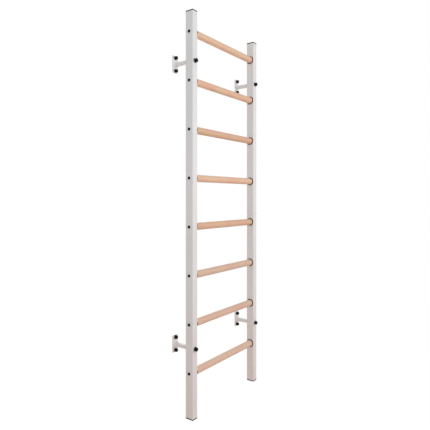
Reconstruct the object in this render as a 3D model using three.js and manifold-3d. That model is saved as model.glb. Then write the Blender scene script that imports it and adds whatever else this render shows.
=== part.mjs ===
// Swedish wall bars: round beech rungs between two steel uprights, held off the wall by four brackets.
// Millimetres, +Z up, +X along the rungs, +Y towards the wall.
// The origin is on the wall, at floor level, midway between the uprights.
import * as THREE from 'three';
import { mergeVertices } from 'three/addons/utils/BufferGeometryUtils.js';
import Module from 'manifold-3d';

// Uprights: rectangular steel tube
const uprightHeight = 2202; // floor to the top of the end cap
const uprightSpacing = 620; // centre line to centre line
const tubeWidth = 40; // along the rungs
const tubeDepth = 50; // towards the wall
const tubeWall = 2;
const tubeCorner = 2.5; // outside corner radius

// End caps: plastic lids with a hollow plug that goes into the tube
const lidThickness = 6;
const lidChamfer = 1;
const plugDepth = 22;
const plugWall = 2;

// Rungs: round beech bars, bored at both ends for their bolts
const rungCount = 8;
const rungDiameter = 40;
const lowestRungHeight = 246; // floor to the axis of the lowest rung
const topRungDrop = 115; // top of the upright down to the axis of the highest rung

// Rung cups: plastic cups on the rung ends, seen as dark rings
const cupWall = 4;
const cupBase = 1.5;
const cupSocketDepth = 2.5;
const cupChamfer = 0.8;

// Rung bolts: button heads outside the uprights, shanks through the tube into the rung ends
const rungBoltDiameter = 8;
const rungBoltGrip = 30; // length of shank inside the rung
const rungBoltHeadOverhang = 4.2; // rim of the head beyond the shank
const rungBoltHeadHeight = 4.4;
const rungBoltRimHeight = 1; // straight rim below the dome of the head
const rungBoltKeyWidth = 5; // across the flats of the hexagon socket
const rungBoltKeyDepth = 2.4;
const rungBoltKeyLand = 0.8; // flat ring round the socket
const boreEndRoom = 3; // bore left free past the end of a bolt

// Wall brackets: a wall plate with a square tube arm welded to it
const lowerBracketRise = 133; // above the axis of the lowest rung
const upperBracketDrop = 158; // below the axis of the highest rung
const plateWidth = 45;
const plateHeight = 95;
const plateThickness = 4;
const plateLift = 3.5; // middle of the plate above the axis of the arm
const plateCorner = 5;
const plateHoleDiameter = 9;
const plateHoleInset = 11.5; // end of the plate to the hole's centre
const armLength = 91; // wall plate to the back of the upright
const armWall = 2;
const armCorner = 3;
const weldDepth = 1; // how far the arm is let into the plate

// Arm plugs: threaded blocks pressed into the arms, which take the clamp bolts
const armPlugWall = 2.4; // least wall between the bolt and the plug's flats
const armPlugLength = 25;

// Clamp bolts: from the front through the upright into the arm plug, under a hexagon cover cap
const clampBoltDiameter = 10;
const clampBoltGrip = 20; // length of shank inside the arm plug
const coverHexWidth = 19.6; // across the flats
const coverFlangeRim = 0.5; // flange beyond the corners of the hexagon
const coverFlangeThickness = 2.6;
const coverHexHeight = 12.4; // above the flange
const coverDomeHeight = 2.6; // the part of the hexagon's height that closes in to its flat end
const coverDomeInset = 2.4;

// Clearances
const seatGap = 0.3; // between a piece and the piece that it rests on or sits in
const boltGap = 0.4; // round a shank in its hole

// Facets of round pieces
const rungSides = 20;
const boltSides = 12;
const holeSides = 12;
const coverSides = 18;
const cornerSteps = 3;

// Places that follow from the sizes above
const uprightY = -(plateThickness + armLength + tubeDepth / 2);
const uprightFrontY = uprightY - tubeDepth / 2;
const uprightBackY = uprightY + tubeDepth / 2;
const rungPitch = (uprightHeight - lowestRungHeight - topRungDrop) / (rungCount - 1);
const highestRungHeight = uprightHeight - topRungDrop;
const cupDepth = cupBase + cupSocketDepth;
const cupRadius = rungDiameter / 2 + seatGap + cupWall;
const clearSpan = uprightSpacing - tubeWidth; // between the inner faces of the uprights
const rungLength = clearSpan - 2 * (cupBase + 2 * seatGap);
const armSize = clampBoltDiameter + 2 * (boltGap + armPlugWall + seatGap + armWall);
const plateHoleSpacing = plateHeight - 2 * plateHoleInset;
const bracketHeights = {
  lower: lowestRungHeight + lowerBracketRise,
  upper: highestRungHeight - upperBracketDrop,
};
const sides = { left: -1, right: 1 };

// Finishes
const finishes = {
  whiteSteel: { color: 0xe6e5e3, roughness: 0.45, metalness: 0 },
  beech: { color: 0xdcb596, roughness: 0.5, metalness: 0 },
  blackPlastic: { color: 0x1b1a19, roughness: 0.5, metalness: 0 },
  blackSteel: { color: 0x161616, roughness: 0.4, metalness: 0.6 },
  plainSteel: { color: 0x9a9c9e, roughness: 0.35, metalness: 1 },
};

const wasm = await Module();
wasm.setup();

// A closed three.js geometry as a solid that can be joined and cut
function solidOf(geometry) {
  const bare = geometry.clone();
  bare.deleteAttribute('normal');
  bare.deleteAttribute('uv');
  const merged = mergeVertices(bare, 1e-4);
  return new wasm.Manifold(
    new wasm.Mesh({
      numProp: 3,
      vertProperties: new Float32Array(merged.attributes.position.array),
      triVerts: new Uint32Array(merged.index.array),
    }),
  );
}

// The geometry of a joined or cut solid
function geometryOf(solid) {
  const mesh = solid.getMesh();
  const geometry = new THREE.BufferGeometry();
  geometry.setAttribute('position', new THREE.BufferAttribute(mesh.vertProperties, 3));
  geometry.setIndex(new THREE.BufferAttribute(mesh.triVerts, 1));
  geometry.computeVertexNormals();
  return geometry;
}

// Rectangle with round corners, centred on the origin
function roundedRectangle(PathKind, width, height, radius) {
  const x = width / 2 - radius;
  const y = height / 2 - radius;
  const outline = new PathKind();
  outline.absarc(x, y, radius, 0, Math.PI / 2);
  outline.absarc(-x, y, radius, Math.PI / 2, Math.PI);
  outline.absarc(-x, -y, radius, Math.PI, 1.5 * Math.PI);
  outline.absarc(x, -y, radius, 1.5 * Math.PI, 2 * Math.PI);
  outline.closePath();
  return outline;
}

// Section of a rectangular tube
function tubeSection(width, height, wall, corner) {
  const section = roundedRectangle(THREE.Shape, width, height, corner);
  const innerCorner = Math.max(corner - wall, wall / 4);
  section.holes.push(
    roundedRectangle(THREE.Path, width - 2 * wall, height - 2 * wall, innerCorner),
  );
  return section;
}

function extruded(section, depth) {
  return new THREE.ExtrudeGeometry(section, {
    depth,
    steps: 1,
    bevelEnabled: false,
    curveSegments: cornerSteps,
  });
}

// Solid of revolution about +Y from pairs of radius and height
function turned(profile, sideCount) {
  const points = profile.map(([radius, height]) => new THREE.Vector2(radius, height));
  return new THREE.LatheGeometry(points, sideCount);
}

// Round cutter along X or Y, centred on the Z axis at the given height
function drill(axis, diameter, length, height) {
  const cutter = new THREE.CylinderGeometry(diameter / 2, diameter / 2, length, holeSides);
  if (axis === 'x') {
    cutter.rotateZ(Math.PI / 2);
  }
  cutter.translate(0, 0, height);
  return solidOf(cutter);
}

// Radius of a six-sided turned piece from its width across the flats
function hexRadius(acrossFlats) {
  return acrossFlats / Math.sqrt(3);
}

function rungHeight(index) {
  return lowestRungHeight + index * rungPitch;
}

// Upright tube, standing on the origin's plane, with the holes of its bolts
function uprightGeometry() {
  const length = uprightHeight - 2 * (lidThickness + seatGap);
  const tube = extruded(tubeSection(tubeWidth, tubeDepth, tubeWall, tubeCorner), length);
  tube.translate(0, 0, lidThickness + seatGap);
  let solid = solidOf(tube);
  for (let index = 0; index < rungCount; index += 1) {
    const holeDiameter = rungBoltDiameter + 2 * boltGap;
    solid = solid.subtract(drill('x', holeDiameter, 2 * tubeWidth, rungHeight(index)));
  }
  for (const height of Object.values(bracketHeights)) {
    const holeDiameter = clampBoltDiameter + 2 * boltGap;
    solid = solid.subtract(drill('y', holeDiameter, 2 * tubeDepth, height));
  }
  return geometryOf(solid);
}

// End cap with its lid below and its plug standing up into the tube
function endCapGeometry() {
  const lidOutline = roundedRectangle(
    THREE.Shape,
    tubeWidth - 2 * lidChamfer,
    tubeDepth - 2 * lidChamfer,
    tubeCorner - lidChamfer / 2,
  );
  const lid = new THREE.ExtrudeGeometry(lidOutline, {
    depth: lidThickness - 2 * lidChamfer,
    steps: 1,
    bevelThickness: lidChamfer,
    bevelSize: lidChamfer,
    bevelSegments: 1,
    curveSegments: cornerSteps,
  });
  lid.translate(0, 0, lidChamfer);
  const inset = 2 * (tubeWall + seatGap);
  const plugCorner = Math.max(tubeCorner - tubeWall, plugWall);
  const plug = extruded(
    tubeSection(tubeWidth - inset, tubeDepth - inset, plugWall, plugCorner),
    plugDepth + lidThickness / 2,
  );
  plug.translate(0, 0, lidThickness / 2);
  return geometryOf(solidOf(lid).add(solidOf(plug)));
}

// Rung along +Y from the origin, with a blind bore at each end
function rungGeometry() {
  const radius = rungDiameter / 2;
  const boreRadius = rungBoltDiameter / 2 + boltGap;
  const boreDepth = rungBoltGrip + boreEndRoom;
  return turned(
    [
      [0, boreDepth],
      [boreRadius, boreDepth],
      [boreRadius, 0],
      [radius, 0],
      [radius, rungLength],
      [boreRadius, rungLength],
      [boreRadius, rungLength - boreDepth],
      [0, rungLength - boreDepth],
    ],
    rungSides,
  );
}

// Rung cup with its base on the origin's plane and its socket open towards +Y
function cupGeometry() {
  const holeRadius = rungBoltDiameter / 2 + boltGap;
  const socketRadius = rungDiameter / 2 + seatGap;
  return turned(
    [
      [holeRadius, 0],
      [cupRadius, 0],
      [cupRadius, cupDepth - cupChamfer],
      [cupRadius - cupChamfer, cupDepth],
      [socketRadius, cupDepth],
      [socketRadius, cupBase],
      [holeRadius, cupBase],
      [holeRadius, 0],
    ],
    rungSides,
  );
}

// Rung bolt along +Y, with the underside of its head on the origin's plane
function rungBoltGeometry() {
  const shankRadius = rungBoltDiameter / 2;
  const headRadius = shankRadius + rungBoltHeadOverhang;
  const shankLength = tubeWidth + cupBase + rungBoltGrip + 3 * seatGap;
  const keyRadius = hexRadius(rungBoltKeyWidth);
  const crownRadius = keyRadius + rungBoltKeyLand;
  const domeRun = (headRadius - crownRadius) * Math.SQRT1_2;
  const domeRise = (rungBoltHeadHeight - rungBoltRimHeight) * Math.SQRT1_2;
  const body = turned(
    [
      [0, -rungBoltHeadHeight],
      [crownRadius, -rungBoltHeadHeight],
      [crownRadius + domeRun, -rungBoltRimHeight - domeRise],
      [headRadius, -rungBoltRimHeight],
      [headRadius, 0],
      [shankRadius, 0],
      [shankRadius, shankLength],
      [0, shankLength],
    ],
    boltSides,
  );
  const key = turned(
    [
      [0, -2 * rungBoltHeadHeight],
      [keyRadius, -2 * rungBoltHeadHeight],
      [keyRadius, rungBoltKeyDepth - rungBoltHeadHeight],
      [0, rungBoltKeyDepth - rungBoltHeadHeight],
    ],
    6,
  );
  return geometryOf(solidOf(body).subtract(solidOf(key)));
}

// Bracket with the back of its plate on the wall and its arm reaching towards -Y
function bracketGeometry() {
  const plate = extruded(
    roundedRectangle(THREE.Shape, plateWidth, plateHeight, plateCorner),
    plateThickness,
  );
  plate.rotateX(Math.PI / 2);
  plate.translate(0, 0, plateLift);
  const arm = extruded(
    tubeSection(armSize, armSize, armWall, armCorner),
    armLength - seatGap + weldDepth,
  );
  arm.rotateX(Math.PI / 2);
  arm.translate(0, weldDepth - plateThickness, 0);
  let solid = solidOf(plate).add(solidOf(arm));
  for (const end of [-1, 1]) {
    const height = plateLift + (end * plateHoleSpacing) / 2;
    solid = solid.subtract(drill('y', plateHoleDiameter, 4 * plateThickness, height));
  }
  return geometryOf(solid);
}

// Arm plug along +Y from the origin, bored right through for the clamp bolt
function armPlugGeometry() {
  const size = armSize - 2 * (armWall + seatGap);
  const corner = Math.max(armCorner - armWall, armWall / 2);
  const block = extruded(roundedRectangle(THREE.Shape, size, size, corner), armPlugLength);
  block.rotateX(Math.PI / 2);
  block.translate(0, armPlugLength, 0);
  const bore = drill('y', clampBoltDiameter + 2 * boltGap, 4 * armPlugLength, 0);
  return geometryOf(solidOf(block).subtract(bore));
}

// Clamp bolt along +Y under its cover cap, with the cap's underside on the origin's plane
function clampBoltGeometry() {
  const shankRadius = clampBoltDiameter / 2;
  const hexCorner = hexRadius(coverHexWidth);
  const flangeRadius = hexCorner + coverFlangeRim;
  const shankLength = tubeDepth + clampBoltGrip + 2 * seatGap;
  const flangeAndShank = turned(
    [
      [0, -coverFlangeThickness],
      [flangeRadius - coverFlangeThickness / 2, -coverFlangeThickness],
      [flangeRadius, -coverFlangeThickness / 2],
      [flangeRadius, 0],
      [shankRadius, 0],
      [shankRadius, shankLength],
      [0, shankLength],
    ],
    coverSides,
  );
  const hexTop = -coverFlangeThickness - coverHexHeight;
  const hexCap = turned(
    [
      [0, hexTop],
      [hexCorner - coverDomeInset, hexTop],
      [hexCorner, hexTop + coverDomeHeight],
      [hexCorner, -coverFlangeThickness / 2],
      [0, -coverFlangeThickness / 2],
    ],
    6,
  );
  return geometryOf(solidOf(flangeAndShank).add(solidOf(hexCap)));
}

// One named mesh with a material of its own
function piece(name, geometry, finish) {
  const mesh = new THREE.Mesh(geometry, new THREE.MeshStandardMaterial(finishes[finish]));
  mesh.name = name;
  return mesh;
}

const wallBars = new THREE.Group();

// Uprights with their end caps
for (const [sideName, side] of Object.entries(sides)) {
  const column = new THREE.Group();
  column.position.set((side * uprightSpacing) / 2, uprightY, 0);
  wallBars.add(column);
  column.add(piece(`upright_${sideName}`, uprightGeometry(), 'whiteSteel'));
  column.add(piece(`foot_cap_${sideName}`, endCapGeometry(), 'blackPlastic'));
  const topCap = piece(`top_cap_${sideName}`, endCapGeometry(), 'blackPlastic');
  topCap.rotation.x = Math.PI;
  topCap.position.z = uprightHeight;
  column.add(topCap);
}

// Rungs with the cup and the bolt at each end
for (let index = 0; index < rungCount; index += 1) {
  const level = new THREE.Group();
  level.position.set(0, uprightY, rungHeight(index));
  wallBars.add(level);
  const rung = piece(`rung_${index + 1}`, rungGeometry(), 'beech');
  rung.rotation.z = -Math.PI / 2;
  rung.position.x = -rungLength / 2;
  level.add(rung);
  for (const [sideName, side] of Object.entries(sides)) {
    const cup = piece(`rung_cup_${sideName}_${index + 1}`, cupGeometry(), 'blackPlastic');
    cup.rotation.z = (side * Math.PI) / 2;
    cup.position.x = side * (clearSpan / 2 - seatGap);
    level.add(cup);
    const bolt = piece(`rung_bolt_${sideName}_${index + 1}`, rungBoltGeometry(), 'blackSteel');
    bolt.rotation.z = (side * Math.PI) / 2;
    bolt.position.x = side * (clearSpan / 2 + tubeWidth + seatGap);
    level.add(bolt);
  }
}

// Wall brackets with the plugs and the clamp bolts that hold the uprights to them
for (const [levelName, height] of Object.entries(bracketHeights)) {
  for (const [sideName, side] of Object.entries(sides)) {
    const corner = new THREE.Group();
    corner.position.set((side * uprightSpacing) / 2, 0, height);
    wallBars.add(corner);
    const place = `${levelName}_${sideName}`;
    corner.add(piece(`wall_bracket_${place}`, bracketGeometry(), 'whiteSteel'));
    const plug = piece(`arm_plug_${place}`, armPlugGeometry(), 'plainSteel');
    plug.position.y = uprightBackY + seatGap;
    corner.add(plug);
    const bolt = piece(`clamp_bolt_${place}`, clampBoltGeometry(), 'blackPlastic');
    bolt.position.y = uprightFrontY - seatGap;
    corner.add(bolt);
  }
}

export default wallBars;
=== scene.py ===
# Swedish wall bars: two white tube uprights, eight beech rungs, four wall brackets and their black fixings.
# Lengths are in metres in the part's own frame: X along the rungs, Y into the wall, Z up from the floor.
import math

import bmesh
import bpy
from mathutils import Matrix, Vector


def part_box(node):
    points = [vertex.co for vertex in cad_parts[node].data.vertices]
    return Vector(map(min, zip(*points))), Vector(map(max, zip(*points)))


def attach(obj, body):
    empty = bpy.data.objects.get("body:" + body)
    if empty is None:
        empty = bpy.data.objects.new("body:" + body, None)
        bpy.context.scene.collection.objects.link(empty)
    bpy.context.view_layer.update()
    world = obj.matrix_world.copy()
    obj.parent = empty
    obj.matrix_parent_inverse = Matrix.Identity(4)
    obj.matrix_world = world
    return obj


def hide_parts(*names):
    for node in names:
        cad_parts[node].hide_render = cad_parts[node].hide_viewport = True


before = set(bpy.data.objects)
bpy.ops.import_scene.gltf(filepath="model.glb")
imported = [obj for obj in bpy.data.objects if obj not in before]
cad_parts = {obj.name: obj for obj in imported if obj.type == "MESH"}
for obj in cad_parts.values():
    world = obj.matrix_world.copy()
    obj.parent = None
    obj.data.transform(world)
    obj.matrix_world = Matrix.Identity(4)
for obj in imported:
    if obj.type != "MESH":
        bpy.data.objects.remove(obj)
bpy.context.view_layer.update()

mm = 0.001
outward = {"left": -1, "right": 1}  # the way each upright's outer face looks along X
levels = ("lower", "upper")
rungNumbers = range(1, 9)
print("frame loaded:", len(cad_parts), "nodes")


def middle(node):
    low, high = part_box(node)
    return (low + high) / 2


# Materials
def linear(hexColour):
    # sRGB hex to the linear colour that a shader takes
    channels = [int(hexColour[i:i + 2], 16) / 255 for i in (1, 3, 5)]
    return [c / 12.92 if c < 0.04045 else ((c + 0.055) / 1.055) ** 2.4 for c in channels] + [1]


def addNode(tree, kind, inputs=None, **settings):
    # An input that is another node's socket is linked, and any other is set
    node = tree.nodes.new("ShaderNode" + kind)
    for name, value in settings.items():
        setattr(node, name, value)
    for socket, value in (inputs or {}).items():
        if isinstance(value, bpy.types.NodeSocket):
            tree.links.new(value, node.inputs[socket])
        else:
            node.inputs[socket].default_value = value
    return node


def newMaterial(name, **fixed):
    # A material with the values that are the same all over, and the coordinates its patterns start from
    material = bpy.data.materials.new(name)
    material.use_nodes = True
    tree = material.node_tree
    shader = tree.nodes["Principled BSDF"]
    for socket, value in fixed.items():
        shader.inputs[socket.replace("_", " ")].default_value = value
    place = addNode(tree, "TexCoord").outputs["Object"]
    return material, tree, shader, place


def dress(tree, shader, colour, roughness, bump):
    # Joins what the patterns give to the shader
    tree.links.new(colour, shader.inputs["Base Color"])
    tree.links.new(roughness, shader.inputs["Roughness"])
    tree.links.new(bump, shader.inputs["Normal"])


colourA, colourB, colourOut = 6, 7, 2  # the colour sockets of a mix node


def powderCoat():
    # White polyester powder baked on steel: an even satin white, its shine softened by a slight orange peel
    finish = {
        "white": "#f0f0f0",
        "warmer": "#eae9e8",
        "patch": 170 * mm,  # slow drift of tone along a tube
        "peel": 2 * mm,  # real orange peel is nearer 1 mm, drawn coarser so that close views show it
        "peelHeight": 0.015 * mm,
        "smoothest": 0.34,
        "dullest": 0.44,
    }
    material, tree, shader, place = newMaterial("whitePowderCoat", IOR=1.5)
    patch = addNode(tree, "TexNoise", {"Vector": place, "Scale": 1 / finish["patch"], "Detail": 3})
    tone = addNode(
        tree,
        "Mix",
        {0: patch.outputs["Fac"], colourA: linear(finish["white"]), colourB: linear(finish["warmer"])},
        data_type="RGBA",
    )
    peel = addNode(tree, "TexNoise", {"Vector": place, "Scale": 1 / finish["peel"], "Detail": 1})
    dull = addNode(
        tree,
        "MapRange",
        {"Value": peel.outputs["Fac"], "To Min": finish["smoothest"], "To Max": finish["dullest"]},
    )
    skin = addNode(tree, "Bump", {"Height": peel.outputs["Fac"], "Distance": finish["peelHeight"]})
    dress(tree, shader, tone.outputs[colourOut], dull.outputs["Result"], skin.outputs["Normal"])
    return material


def lacqueredBeech():
    # Steamed beech turned to bars under clear satin lacquer: pinkish tan, fine straight grain, short flecks
    finish = {
        "pale": "#f1d3b7",
        "tan": "#e6bf9d",
        "growthLine": "#d0a484",
        "fleck": "#b48460",
        "pinker": "#eebaa4",
        "driftLength": 110 * mm,  # slow change from tan to pink along a rung
        "driftWidth": 45 * mm,
        "driftStart": 0.4,  # noise levels where the pink starts and where it is full
        "driftFull": 0.65,
        "driftStrength": 0.8,
        "streakLength": 320 * mm,
        "streakWidth": 7 * mm,
        "growthSpacing": 4 * mm,
        "growthTurn": 28.65,  # degrees that the layers of growth are turned round the rung
        "growthLean": 1.2,  # degrees between the grain and the rung, so the lines run out along it
        "growthWaver": 6,
        "growthWaverScale": 0.12,
        "growthStart": 0.55,  # wave level where a line starts
        "growthStrength": 0.35,
        "fleckLength": 9 * mm,  # real flecks are about 2 x 0.3 mm, drawn larger so that they show
        "fleckWidth": 0.9 * mm,
        "fleckStart": 0.6,  # noise levels where a fleck starts and where it is full
        "fleckFull": 0.72,
        "fleckStrength": 0.5,
        "grainHeight": 0.02 * mm,
        "smoothest": 0.36,
        "dullest": 0.5,
        "seed": 949,  # each rung is cut from its own wood, lighter or duller than the next
        "valueSpread": 0.07,
        "saturationSpread": 0.14,
        "hueSpread": 0.0035,
    }
    wavePeriod = math.tau / 20  # a wave texture of scale 1 repeats after this length
    material, tree, shader, place = newMaterial("lacqueredBeech", IOR=1.5)
    along, across = 1 / finish["streakLength"], 1 / finish["streakWidth"]
    drawn = addNode(tree, "Mapping", {"Vector": place, "Scale": (along, across, across)})
    streak = addNode(
        tree, "TexNoise", {"Vector": drawn.outputs[0], "Scale": 1, "Detail": 4, "Roughness": 0.6}
    )
    wood = addNode(
        tree,
        "Mix",
        {0: streak.outputs["Fac"], colourA: linear(finish["pale"]), colourB: linear(finish["tan"])},
        data_type="RGBA",
    )
    along, across = 1 / finish["driftLength"], 1 / finish["driftWidth"]
    slow = addNode(tree, "Mapping", {"Vector": place, "Scale": (along, across, across)})
    drift = addNode(tree, "TexNoise", {"Vector": slow.outputs[0], "Scale": 1, "Detail": 1})
    pink = addNode(
        tree,
        "MapRange",
        {
            "Value": drift.outputs["Fac"],
            "From Min": finish["driftStart"],
            "From Max": finish["driftFull"],
            "To Max": finish["driftStrength"],
        },
    )
    blushed = addNode(
        tree,
        "Mix",
        {0: pink.outputs["Result"], colourA: wood.outputs[colourOut], colourB: linear(finish["pinker"])},
        data_type="RGBA",
    )
    turn, lean = math.radians(finish["growthTurn"]), math.radians(finish["growthLean"])
    leaning = addNode(tree, "Mapping", {"Vector": place, "Rotation": (turn, lean, 0)})
    growth = addNode(
        tree,
        "TexWave",
        {
            "Vector": leaning.outputs[0],
            "Scale": wavePeriod / finish["growthSpacing"],
            "Distortion": finish["growthWaver"],
            "Detail": 2,
            "Detail Scale": finish["growthWaverScale"],
        },
        bands_direction="Z",
    )
    lines = addNode(
        tree,
        "MapRange",
        {
            "Value": growth.outputs["Fac"],
            "From Min": finish["growthStart"],
            "To Max": finish["growthStrength"],
        },
    )
    ringed = addNode(
        tree,
        "Mix",
        {
            0: lines.outputs["Result"],
            colourA: blushed.outputs[colourOut],
            colourB: linear(finish["growthLine"]),
        },
        data_type="RGBA",
    )
    along, across = 1 / finish["fleckLength"], 1 / finish["fleckWidth"]
    dashed = addNode(tree, "Mapping", {"Vector": place, "Scale": (along, across, across)})
    fleck = addNode(tree, "TexNoise", {"Vector": dashed.outputs[0], "Scale": 1, "Detail": 1})
    flecks = addNode(
        tree,
        "MapRange",
        {
            "Value": fleck.outputs["Fac"],
            "From Min": finish["fleckStart"],
            "From Max": finish["fleckFull"],
            "To Max": finish["fleckStrength"],
        },
    )
    flecked = addNode(
        tree,
        "Mix",
        {0: flecks.outputs["Result"], colourA: ringed.outputs[colourOut], colourB: linear(finish["fleck"])},
        data_type="RGBA",
    )
    rungPitch = middle("rung_2").z - middle("rung_1").z
    height = addNode(tree, "SeparateXYZ", {0: place}).outputs["Z"]
    halfPitch = 0.5  # keeps the whole of a rung inside one count
    count = addNode(
        tree,
        "Math",
        {0: height, 1: 1 / rungPitch, 2: finish["seed"] + halfPitch},
        operation="MULTIPLY_ADD",
    )
    number = addNode(tree, "Math", {0: count.outputs[0]}, operation="FLOOR")
    noise = addNode(tree, "TexWhiteNoise", {"W": number.outputs[0]}, noise_dimensions="1D")
    chance = addNode(tree, "SeparateColor", {0: noise.outputs["Color"]}).outputs
    own = addNode(tree, "HueSaturation", {"Color": flecked.outputs[colourOut]})
    spreads = (  # socket, channel of chance, value that changes nothing, spread
        ("Hue", "Blue", 0.5, -finish["hueSpread"]),
        ("Saturation", "Green", 1, finish["saturationSpread"]),
        ("Value", "Red", 1, finish["valueSpread"]),
    )
    for socket, channel, neutral, spread in spreads:
        limits = {"Value": chance[channel], "To Min": neutral - spread, "To Max": neutral + spread}
        varied = addNode(tree, "MapRange", limits)
        tree.links.new(varied.outputs["Result"], own.inputs[socket])
    dull = addNode(
        tree,
        "MapRange",
        {"Value": streak.outputs["Fac"], "To Min": finish["smoothest"], "To Max": finish["dullest"]},
    )
    grain = addNode(tree, "Bump", {"Height": fleck.outputs["Fac"], "Distance": finish["grainHeight"]})
    dress(tree, shader, own.outputs["Color"], dull.outputs["Result"], grain.outputs["Normal"])
    return material


def mouldedPlastic():
    # Black polypropylene from a spark-eroded mould: a dull deep black with a fine even grain
    finish = {
        "black": "#060607",
        "paler": "#0b0b0c",
        "grain": 0.9 * mm,  # real mould grain is about 0.2 mm, drawn coarser so that close views show it
        "grainHeight": 0.03 * mm,
        "smoothest": 0.55,
        "dullest": 0.68,
    }
    material, tree, shader, place = newMaterial("mouldedBlackPlastic", IOR=1.49, Specular_IOR_Level=0.15)
    grain = addNode(tree, "TexNoise", {"Vector": place, "Scale": 1 / finish["grain"], "Detail": 2})
    tone = addNode(
        tree,
        "Mix",
        {0: grain.outputs["Fac"], colourA: linear(finish["black"]), colourB: linear(finish["paler"])},
        data_type="RGBA",
    )
    dull = addNode(
        tree,
        "MapRange",
        {"Value": grain.outputs["Fac"], "To Min": finish["smoothest"], "To Max": finish["dullest"]},
    )
    skin = addNode(tree, "Bump", {"Height": grain.outputs["Fac"], "Distance": finish["grainHeight"]})
    dress(tree, shader, tone.outputs[colourOut], dull.outputs["Result"], skin.outputs["Normal"])
    return material


# Steel screws under black zinc: a dark satin metal, slightly cloudy
blackZincSteel = {
    "dark": "#0c0c0d",
    "light": "#151516",
    "cloud": 3 * mm,
    "cloudHeight": 0.01 * mm,
    "smoothest": 0.42,
    "dullest": 0.55,
}
# Steel blocks under clear zinc: a bluish grey metal with soft clouds
zincPlatedSteel = {
    "dark": "#9fa3a8",
    "light": "#b9bcc0",
    "cloud": 5 * mm,
    "cloudHeight": 0.01 * mm,
    "smoothest": 0.28,
    "dullest": 0.42,
}


def platedMetal(name, finish):
    material, tree, shader, place = newMaterial(name, Metallic=1)
    clouds = addNode(tree, "TexNoise", {"Vector": place, "Scale": 1 / finish["cloud"], "Detail": 4})
    tone = addNode(
        tree,
        "Mix",
        {0: clouds.outputs["Fac"], colourA: linear(finish["dark"]), colourB: linear(finish["light"])},
        data_type="RGBA",
    )
    dull = addNode(
        tree,
        "MapRange",
        {"Value": clouds.outputs["Fac"], "To Min": finish["smoothest"], "To Max": finish["dullest"]},
    )
    skin = addNode(tree, "Bump", {"Height": clouds.outputs["Fac"], "Distance": finish["cloudHeight"]})
    dress(tree, shader, tone.outputs[colourOut], dull.outputs["Result"], skin.outputs["Normal"])
    return material


whiteCoat = powderCoat()
beech = lacqueredBeech()
blackPlastic = mouldedPlastic()
blackSteel = platedMetal("blackZincSteel", blackZincSteel)
zincSteel = platedMetal("zincPlatedSteel", zincPlatedSteel)
print("materials made:", len(bpy.data.materials))


# Modelling
slope = 0.05 * mm  # loops that share a plane may bridge the wrong way round, so flat steps lean by this much
drillSegments = 40
mergeDistance = 0.001 * mm
sharpAngle = math.radians(32)  # edges that turn more than this stay sharp


def loopEdges(verts):
    # The edges that run between these vertices, each once
    own = set(verts)
    edges = dict.fromkeys(edge for vert in verts for edge in vert.link_edges)
    return [edge for edge in edges if own.issuperset(edge.verts)]


def roundLoop(bm, radius, height, segments):
    made = bmesh.ops.create_circle(
        bm, radius=radius, segments=segments, matrix=Matrix.Translation((0, 0, height))
    )
    return loopEdges(made["verts"])


def roundCorners(bm, made, count, reach, segments, cuts):
    # Rounds the corners of a fresh flat face, cuts its sides and leaves the bare loop of edges
    verts = made["verts"]
    if reach:
        verts = bmesh.ops.bevel(
            bm, geom=verts, affect="VERTICES", offset=reach, segments=segments, profile=0.5, material=-1
        )["verts"]
    face = verts[0].link_faces[0]
    edges = list(face.edges)
    bmesh.ops.delete(bm, geom=[face], context="FACES_ONLY")
    if cuts:
        straight = sorted(edges, key=lambda edge: -edge.calc_length())[:count]
        cut = bmesh.ops.subdivide_edges(bm, edges=straight, cuts=cuts)["geom_split"]
        edges = list(dict.fromkeys(edges + [item for item in cut if isinstance(item, bmesh.types.BMEdge)]))
    return edges


def boxLoop(bm, width, depth, corner, height, segments=8, cuts=0):
    size = Matrix.LocRotScale((0, 0, height), None, (width, depth, 1))
    made = bmesh.ops.create_grid(bm, x_segments=1, y_segments=1, size=0.5, matrix=size)
    return roundCorners(bm, made, 4, corner, segments, cuts)


def hexLoop(bm, acrossFlats, corner, height, segments, cuts):
    place = Matrix.Translation((0, 0, height))
    made = bmesh.ops.create_circle(
        bm, cap_ends=True, segments=6, radius=acrossFlats / math.sqrt(3), matrix=place
    )
    return roundCorners(bm, made, 6, corner * math.tan(math.radians(30)), segments, cuts)


def loft(bm, loops, closed=False):
    # Bridges each loop to the next; a closed row makes a ring, an open one gets its two ends filled
    following = loops[1:] + loops[:1] if closed else loops[1:]
    for near, far in zip(loops, following):
        bmesh.ops.bridge_loops(bm, edges=near + far)
    if not closed:
        bmesh.ops.edgeloop_fill(bm, edges=loops[0])
        bmesh.ops.edgeloop_fill(bm, edges=loops[-1])


def stand(bm, at, facing):
    # Turns a shape that was made along Z to face another way, and puts it in its place
    turn = Vector(facing).to_track_quat("Z", "Y").to_matrix().to_4x4()
    bmesh.ops.transform(bm, matrix=Matrix.Translation(at) @ turn, verts=bm.verts)


def addDrill(bm, diameter, length, at, facing):
    turn = Vector(facing).to_track_quat("Z", "Y").to_matrix().to_4x4()
    bmesh.ops.create_cone(
        bm,
        cap_ends=True,
        segments=drillSegments,
        radius1=diameter / 2,
        radius2=diameter / 2,
        depth=length,
        matrix=Matrix.Translation(at) @ turn,
    )


def combine(first, second, operation):
    # Cuts or joins two shapes and uses both up
    pair = []
    for bm in (first, second):
        mesh = bpy.data.meshes.new("stock")
        bmesh.ops.recalc_face_normals(bm, faces=bm.faces)
        bm.to_mesh(mesh)
        bm.free()
        pair.append(bpy.data.objects.new("stock", mesh))
        bpy.context.scene.collection.objects.link(pair[-1])
    boolean = pair[0].modifiers.new("combine", "BOOLEAN")
    boolean.operation = operation
    boolean.solver = "EXACT"
    boolean.object = pair[1]
    result = bmesh.new()
    result.from_object(pair[0], bpy.context.evaluated_depsgraph_get())
    for piece in pair:
        mesh = piece.data
        bpy.data.objects.remove(piece)
        bpy.data.meshes.remove(mesh)
    return result


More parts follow.
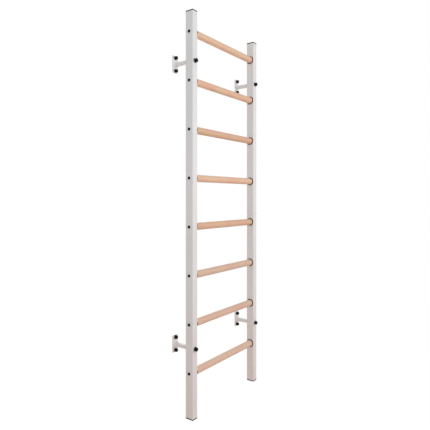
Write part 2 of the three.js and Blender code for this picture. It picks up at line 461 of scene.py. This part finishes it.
def addPiece(name, bm, material, slot, *nodes):
    bmesh.ops.remove_doubles(bm, verts=bm.verts, dist=mergeDistance)
    bmesh.ops.recalc_face_normals(bm, faces=bm.faces)
    mesh = bpy.data.meshes.new(name)
    bm.to_mesh(mesh)
    bm.free()
    mesh.materials.append(material)
    mesh.shade_smooth()
    mesh.set_sharp_from_angle(angle=sharpAngle)
    piece = bpy.data.objects.new(name, mesh)
    bpy.context.scene.collection.objects.link(piece)
    piece.modifiers.new("flatFacesStayFlat", "WEIGHTED_NORMAL").keep_sharp = True
    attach(piece, "root")
    if nodes:
        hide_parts(*nodes)


# Pieces
upright = {
    "corner": 2.5 * mm,
    "innerCorner": 1 * mm,
    "wall": 2 * mm,
    "rungBoltHole": 8.8 * mm,
    "clampBoltHole": 10.8 * mm,
    "drillLength": 70 * mm,
}


def makeUpright(side):
    node = f"upright_{side}"
    low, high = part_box(node)
    size, centre = high - low, middle(node)
    wall = upright["wall"]
    bm = bmesh.new()
    outer, inner = upright["corner"], upright["innerCorner"]
    rounds = [(0, outer, low.z), (0, outer, high.z)]
    rounds += [(wall, inner, high.z - slope), (wall, inner, low.z + slope)]
    loops = [
        boxLoop(bm, size.x - 2 * inset, size.y - 2 * inset, corner, height)
        for inset, corner, height in rounds
    ]
    loft(bm, loops, closed=True)
    bmesh.ops.translate(bm, vec=(centre.x, centre.y, 0), verts=bm.verts)
    drills = bmesh.new()
    for number in rungNumbers:
        at = (centre.x, centre.y, middle(f"rung_{number}").z)
        addDrill(drills, upright["rungBoltHole"], upright["drillLength"], at, (1, 0, 0))
    for level in levels:
        at = (centre.x, centre.y, middle(f"clamp_bolt_{level}_{side}").z)
        addDrill(drills, upright["clampBoltHole"], upright["drillLength"], at, (0, 1, 0))
    drilled = combine(bm, drills, "DIFFERENCE")
    addPiece(f"tubeUpright_{side}", drilled, whiteCoat, "white_steel", node)


tubeCap = {
    "lid": 6 * mm,
    "edge": 1.2 * mm,  # rounding of the lid's outer edge
    "edgeSteps": 4,
    "corner": 2.5 * mm,
    "leastCorner": 0.5 * mm,
    "plugInset": 2.3 * mm,  # tube wall and clearance
    "plugWall": 2 * mm,
    "plugLead": 1 * mm,
    "floor": 1.5 * mm,
}


def makeTubeCap(end, side):
    node = f"{end}_cap_{side}"
    low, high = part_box(node)
    size, centre = high - low, middle(node)
    edge, plug = tubeCap["edge"], tubeCap["plugInset"]
    hollow = plug + tubeCap["plugWall"]
    rounds = []
    for step in range(tubeCap["edgeSteps"] + 1):  # quarter round of the lid's edge, from top face to side
        turn = math.radians(90) * step / tubeCap["edgeSteps"]
        rounds.append((edge * (1 - math.sin(turn)), -edge * (1 - math.cos(turn))))
    lid, lead = tubeCap["lid"], tubeCap["plugLead"]
    rounds += [(0, -lid), (plug, -lid - slope), (plug, lead - size.z), (plug + lead / 2, -size.z)]
    rounds += [(hollow, slope - size.z), (hollow, -lid - tubeCap["floor"])]
    bm = bmesh.new()
    loops = []
    for inset, height in rounds:
        corner = max(tubeCap["corner"] - inset, tubeCap["leastCorner"])
        loops.append(boxLoop(bm, size.x - 2 * inset, size.y - 2 * inset, corner, height))
    loft(bm, loops)
    if end == "foot":
        bmesh.ops.rotate(bm, matrix=Matrix.Rotation(math.pi, 3, "X"), verts=bm.verts)
    bmesh.ops.translate(bm, vec=(centre.x, centre.y, high.z if end == "top" else low.z), verts=bm.verts)
    addPiece(f"tubeCap_{end}_{side}", bm, blackPlastic, "black_plastic", node)


rung = {
    "segments": 96,
    "endRound": 1.5 * mm,
    "endRoundSteps": 4,
    "bore": 8.8 * mm,
    "boreDepth": 34 * mm,
}


def makeRung(number):
    node = f"rung_{number}"
    low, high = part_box(node)
    radius = (high.z - low.z) / 2
    bm = bmesh.new()
    bmesh.ops.create_cone(
        bm, cap_ends=True, segments=rung["segments"], radius1=radius, radius2=radius, depth=high.x - low.x
    )
    ends = [face for face in bm.faces if len(face.verts) > 4]
    rims = [edge for face in ends for edge in face.edges]
    bmesh.ops.bevel(
        bm,
        geom=rims,
        affect="EDGES",
        offset=rung["endRound"],
        segments=rung["endRoundSteps"],
        profile=0.5,
        material=-1,
    )
    ends = [face for face in bm.faces if len(face.verts) > 4]
    bmesh.ops.inset_individual(bm, faces=ends, thickness=radius - rung["endRound"] - rung["bore"] / 2)
    for face in bmesh.ops.extrude_discrete_faces(bm, faces=ends)["faces"]:
        face.normal_update()
        bmesh.ops.translate(bm, vec=-face.normal * rung["boreDepth"], verts=face.verts)
    stand(bm, middle(node), (1, 0, 0))
    addPiece(f"beechRung_{number}", bm, beech, "beech", node)


cup = {
    "wall": 4 * mm,
    "base": 1.5 * mm,
    "hole": 8.8 * mm,
    "lip": 0.8 * mm,
    "lipSteps": 4,
    "segments": 72,
}


def makeCup(side, number):
    node = f"rung_cup_{side}_{number}"
    low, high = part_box(node)
    centre = middle(node)
    depth, outer = high.x - low.x, (high.z - low.z) / 2
    inner, hole, base = outer - cup["wall"], cup["hole"] / 2, cup["base"]
    bm = bmesh.new()
    corners = ((hole, 0), (outer, 0), (outer, depth), (inner, depth), (inner, base), (hole, base))
    section = [bm.verts.new((radius, 0, height)) for radius, height in corners]
    for pair in zip(section, section[1:] + section[:1]):
        bm.edges.new(pair)
    bmesh.ops.bevel(
        bm,
        geom=section[1:4],
        affect="VERTICES",
        offset=cup["lip"],
        segments=cup["lipSteps"],
        profile=0.5,
        material=-1,
    )
    bmesh.ops.spin(
        bm,
        geom=bm.verts[:] + bm.edges[:],
        cent=(0, 0, 0),
        axis=(0, 0, 1),
        angle=math.tau,
        steps=cup["segments"],
        use_merge=True,
    )
    seat = high.x if side == "right" else low.x
    stand(bm, (seat, centre.y, centre.z), (-outward[side], 0, 0))
    addPiece(f"rungCup_{side}_{number}", bm, blackPlastic, "black_plastic", node)


button = {
    "head": 16.4 * mm,
    "height": 4.4 * mm,
    "rim": 1 * mm,
    "land": 7.4 * mm,  # flat ring round the socket
    "key": 5 * mm,
    "keyDepth": 2.4 * mm,
    "shank": 8 * mm,
    "tip": 1 * mm,
    "underEdge": 0.3 * mm,
    "segments": 48,
    "domeSteps": 6,
}


def makeButton(side, number):
    node = f"rung_bolt_{side}_{number}"
    low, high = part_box(node)
    centre = middle(node)
    count, height, rim = button["segments"], button["height"], button["rim"]
    head, land, shank = button["head"] / 2, button["land"] / 2, button["shank"] / 2
    reach = high.x - low.x - height
    bm = bmesh.new()
    keyCuts = count // 6 - 1
    loops = [hexLoop(bm, button["key"], 0, height - button["keyDepth"], 0, keyCuts)]
    loops.append(hexLoop(bm, button["key"], 0, height - slope, 0, keyCuts))
    top = math.acos(land / head)
    for step in range(button["domeSteps"] + 1):
        turn = top * (1 - step / button["domeSteps"])
        rise = (height - rim) * math.sin(turn) / math.sin(top)
        loops.append(roundLoop(bm, head * math.cos(turn), rim + rise, count))
    under = button["underEdge"]
    tip = button["tip"]
    turned = [(head, under), (head - under, 0), (shank, -slope), (shank, tip - reach), (shank - tip, -reach)]
    loops += [roundLoop(bm, radius, level, count) for radius, level in turned]
    loft(bm, loops)
    seat = high.x - height if side == "right" else low.x + height
    stand(bm, (seat, centre.y, centre.z), (outward[side], 0, 0))
    addPiece(f"buttonBolt_{side}_{number}", bm, blackSteel, "black_steel", node)


def coverCap(size, reach):
    # A bolt under its plastic hexagon cover: round flange, softly domed hexagon above it, shank below
    count, flange, edge, thick = size["segments"], size["flange"] / 2, size["edge"], size["thickness"]
    cuts = (count - 6 * (size["cornerSegments"] + 1)) // 6
    bm = bmesh.new()
    shank = size["shank"] / 2
    loops = [roundLoop(bm, shank - size["tip"], -reach, count)]
    turned = [(shank, size["tip"] - reach), (shank, -slope), (flange - edge, 0)]
    turned += [(flange, edge), (flange, thick - edge), (flange - edge, thick)]
    for radius, height in turned:
        loops.append(roundLoop(bm, radius, height, count))
    foot, shoulder, dome = size["hexagon"], size["height"] - size["dome"], size["dome"]
    for height in (thick + size["neck"], shoulder):
        loops.append(hexLoop(bm, foot, size["corner"], height, size["cornerSegments"], cuts))
    for step in range(1, size["domeSteps"] + 1):
        turn = math.radians(90) * step / size["domeSteps"]
        inset = size["domeInset"] * (1 - math.cos(turn))
        across = foot - 2 * inset
        corner = size["corner"] + inset
        height = shoulder + dome * math.sin(turn)
        loops.append(hexLoop(bm, across, corner, height, size["cornerSegments"], cuts))
    loft(bm, loops)
    return bm


clampCap = {
    "shank": 10 * mm,
    "tip": 1.2 * mm,
    "flange": 23.6 * mm,
    "thickness": 2.6 * mm,
    "edge": 0.6 * mm,
    "neck": 0.2 * mm,  # slant between the flange and the hexagon's sides
    "hexagon": 19.6 * mm,
    "corner": 1.5 * mm,
    "cornerSegments": 4,
    "height": 15 * mm,
    "dome": 2.6 * mm,
    "domeInset": 2.4 * mm,
    "domeSteps": 5,
    "segments": 48,
}


def makeClampCap(level, side):
    node = f"clamp_bolt_{level}_{side}"
    low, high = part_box(node)
    centre = middle(node)
    seat = low.y + clampCap["height"]
    bm = coverCap(clampCap, high.y - seat)
    stand(bm, (centre.x, seat, centre.z), (0, -1, 0))
    addPiece(f"clampCap_{level}_{side}", bm, blackPlastic, "black_plastic", node)


bracket = {
    "plate": 4 * mm,
    "plateCorner": 5 * mm,
    "plateEdge": 0.8 * mm,
    "hole": 9 * mm,
    "holeInset": 11.5 * mm,
    "arm": 20.2 * mm,
    "armWall": 2 * mm,
    "armCorner": 3 * mm,
    "leastCorner": 1 * mm,
    "weldDepth": 1 * mm,
    "weldLeg": 2.2 * mm,
    "weldBulge": 0.55,  # 0 for a flat bead, 1 for a round one
    "weldSteps": 4,
    "sideCuts": 11,
}


def makeBracket(level, side):
    node = f"wall_bracket_{level}_{side}"
    low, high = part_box(node)
    size, centre = high - low, middle(node)
    thick, edge = bracket["plate"], bracket["plateEdge"]
    plate = bmesh.new()
    rounds = ((edge, 0), (0, edge), (0, thick - edge), (edge / 2, thick - edge / 4), (edge, thick))
    loops = [
        boxLoop(plate, size.x - 2 * inset, size.z - 2 * inset, bracket["plateCorner"] - inset, height)
        for inset, height in rounds
    ]
    loft(plate, loops)
    drills = bmesh.new()
    reach = size.z / 2 - bracket["holeInset"]
    for end in (-1, 1):
        addDrill(drills, bracket["hole"], 4 * thick, (0, end * reach, thick / 2), (0, 0, 1))
    drilled = combine(plate, drills, "DIFFERENCE")
    tip, root = size.y, thick - bracket["weldDepth"]
    leg, bulge = bracket["weldLeg"], bracket["weldBulge"]
    wall, arm = bracket["armWall"], bracket["arm"]
    stem = bmesh.new()
    rounds = [(wall, root), (wall, tip - slope), (0, tip), (0, thick + leg)]
    for step in range(1, bracket["weldSteps"] + 1):  # the bead swells from the arm down to the plate
        turn = math.radians(90) * step / bracket["weldSteps"]
        swell = bulge * math.sin(turn) + (1 - bulge) * (1 - math.cos(turn))
        rounds.append((-leg * swell, thick + leg * math.cos(turn)))
    rounds.append((rounds[-1][0], root - slope))
    loops = []
    for inset, height in rounds:
        corner = max(bracket["armCorner"] - inset, bracket["leastCorner"])
        across = arm - 2 * inset
        loops.append(boxLoop(stem, across, across, corner, height, cuts=bracket["sideCuts"]))
    loft(stem, loops, closed=True)
    armDrop = middle(f"clamp_bolt_{level}_{side}").z - centre.z
    bmesh.ops.translate(stem, vec=(0, armDrop, 0), verts=stem.verts)
    joined = combine(drilled, stem, "UNION")
    stand(joined, (centre.x, high.y, centre.z), (0, -1, 0))
    addPiece(f"wallBracket_{level}_{side}", joined, whiteCoat, "white_steel", node)


screwCap = {
    "shank": 8 * mm,
    "tip": 0.6 * mm,
    "flange": 21.4 * mm,
    "thickness": 2.2 * mm,
    "edge": 0.5 * mm,
    "neck": 0.2 * mm,
    "hexagon": 17.8 * mm,
    "corner": 1.5 * mm,
    "cornerSegments": 4,
    "height": 14 * mm,
    "dome": 2.2 * mm,
    "domeInset": 2.2 * mm,
    "domeSteps": 5,
    "segments": 48,
}


def makeScrewCaps(level, side):
    node = f"wall_bracket_{level}_{side}"
    low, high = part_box(node)
    centre = middle(node)
    reach = (high.z - low.z) / 2 - bracket["holeInset"]
    for number, end in ((1, -1), (2, 1)):
        bm = coverCap(screwCap, bracket["plate"])
        stand(bm, (centre.x, high.y - bracket["plate"], centre.z + end * reach), (0, -1, 0))
        addPiece(f"wallScrew_{level}_{side}_{number}", bm, blackPlastic, "black_plastic")


# The whole object
for side in outward:
    makeUpright(side)
    makeTubeCap("top", side)
    makeTubeCap("foot", side)
print("uprights and their end caps made")
for number in rungNumbers:
    makeRung(number)
    for side in outward:
        makeCup(side, number)
        makeButton(side, number)
print("rungs, cups and bolts made:", len(rungNumbers))
for level in levels:
    for side in outward:
        makeBracket(level, side)
        makeScrewCaps(level, side)
        makeClampCap(level, side)
        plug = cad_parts[f"arm_plug_{level}_{side}"]  # out of sight, so its solid stays
        plug.material_slots[0].material = zincSteel
print("wall brackets and their fixings made")

# Studio
studio = {
    "floorHalf": 1.5,
    "floor": "#dab5a5",  # warm, so that it tints the light on the lower ends of the tubes
    "whiteShare": 0.9,  # how much of the floor's own shade the plain white covers, as the camera sees it
    "floorGlow": 1.09,  # a little over 1, because the floor's own shade has the rest of the share
    "ambient": 0.48,
}


def seenWhite(tree):
    # 1 for the rays that find the background plain white: straight from the camera, mirrored or let through
    path = addNode(tree, "LightPath").outputs
    mirrored = addNode(
        tree, "Math", {0: path["Is Camera Ray"], 1: path["Is Glossy Ray"]}, operation="MAXIMUM"
    )
    clear = addNode(
        tree, "Math", {0: mirrored.outputs[0], 1: path["Is Transmission Ray"]}, operation="MAXIMUM"
    )
    return clear.outputs[0]


def makeFloor():
    bm = bmesh.new()
    bmesh.ops.create_grid(bm, x_segments=1, y_segments=1, size=studio["floorHalf"])
    mesh = bpy.data.meshes.new("floor")
    bm.to_mesh(mesh)
    bm.free()
    material = bpy.data.materials.new("paleFloor")
    material.use_nodes = True
    tree = material.node_tree
    tree.nodes.clear()
    matt = addNode(tree, "BsdfDiffuse", {"Color": linear(studio["floor"])})
    white = addNode(tree, "Emission", {"Strength": studio["floorGlow"]})
    share = addNode(tree, "Math", {0: seenWhite(tree), 1: studio["whiteShare"]}, operation="MULTIPLY")
    both = addNode(tree, "MixShader", {0: share.outputs[0], 1: matt.outputs[0], 2: white.outputs[0]})
    addNode(tree, "OutputMaterial", {"Surface": both.outputs[0]})
    mesh.materials.append(material)
    floor = bpy.data.objects.new("floor", mesh)
    bpy.context.scene.collection.objects.link(floor)


def makeWorld():
    world = bpy.data.worlds.new("studio")
    bpy.context.scene.world = world
    world.use_nodes = True
    tree = world.node_tree
    tree.nodes.clear()
    soft = addNode(tree, "Background", {"Color": (1, 1, 1, 1), "Strength": studio["ambient"]})
    white = addNode(tree, "Background", {"Color": (1, 1, 1, 1), "Strength": 1})
    both = addNode(tree, "MixShader", {0: seenWhite(tree), 1: soft.outputs[0], 2: white.outputs[0]})
    addNode(tree, "OutputWorld", {"Surface": both.outputs[0]})


# Round softboxes, with powers in watts
lamps = {
    "leftSoftbox": {"at": (-2.2, -2.6, 1.75), "aim": (0, -0.12, 1.3), "size": 2.2, "power": 30},
    "rightSoftbox": {"at": (1.4, -2.5, 1.75), "aim": (0, -0.12, 1.3), "size": 2, "power": 19},
    "backSoftbox": {"at": (1, 2.5, 1.4), "aim": (0, -0.12, 1.2), "size": 3, "power": 35},
}


def makeLamp(name):
    lamp = lamps[name]
    light = bpy.data.lights.new(name, "AREA")
    light.shape = "DISK"
    light.size = lamp["size"]
    light.energy = lamp["power"]
    holder = bpy.data.objects.new(name, light)
    holder.location = lamp["at"]
    holder.rotation_euler = (Vector(lamp["aim"]) - Vector(lamp["at"])).to_track_quat("-Z", "Y").to_euler()
    bpy.context.scene.collection.objects.link(holder)


view = {
    "at": (-2.1442, -1.6236, 1.1944),
    "turn": 53.73,  # degrees from straight at the wall towards the right
    "lens": 36.68,  # millimetres, for the usual sensor 36 mm wide
    "shiftY": -0.0411,  # the camera is level, and the middle of the photo lies a little below eye height
}


def makeCamera():
    lens = bpy.data.cameras.new("camera")
    lens.lens = view["lens"]
    lens.shift_y = view["shiftY"]
    holder = bpy.data.objects.new("camera", lens)
    holder.location = view["at"]
    holder.rotation_euler = (math.radians(90), 0, -math.radians(view["turn"]))
    bpy.context.scene.collection.objects.link(holder)
    bpy.context.scene.camera = holder


makeFloor()
makeWorld()
for name in lamps:
    makeLamp(name)
makeCamera()
bpy.context.scene.view_settings.view_transform = "Standard"
print("floor, lamps and camera set")
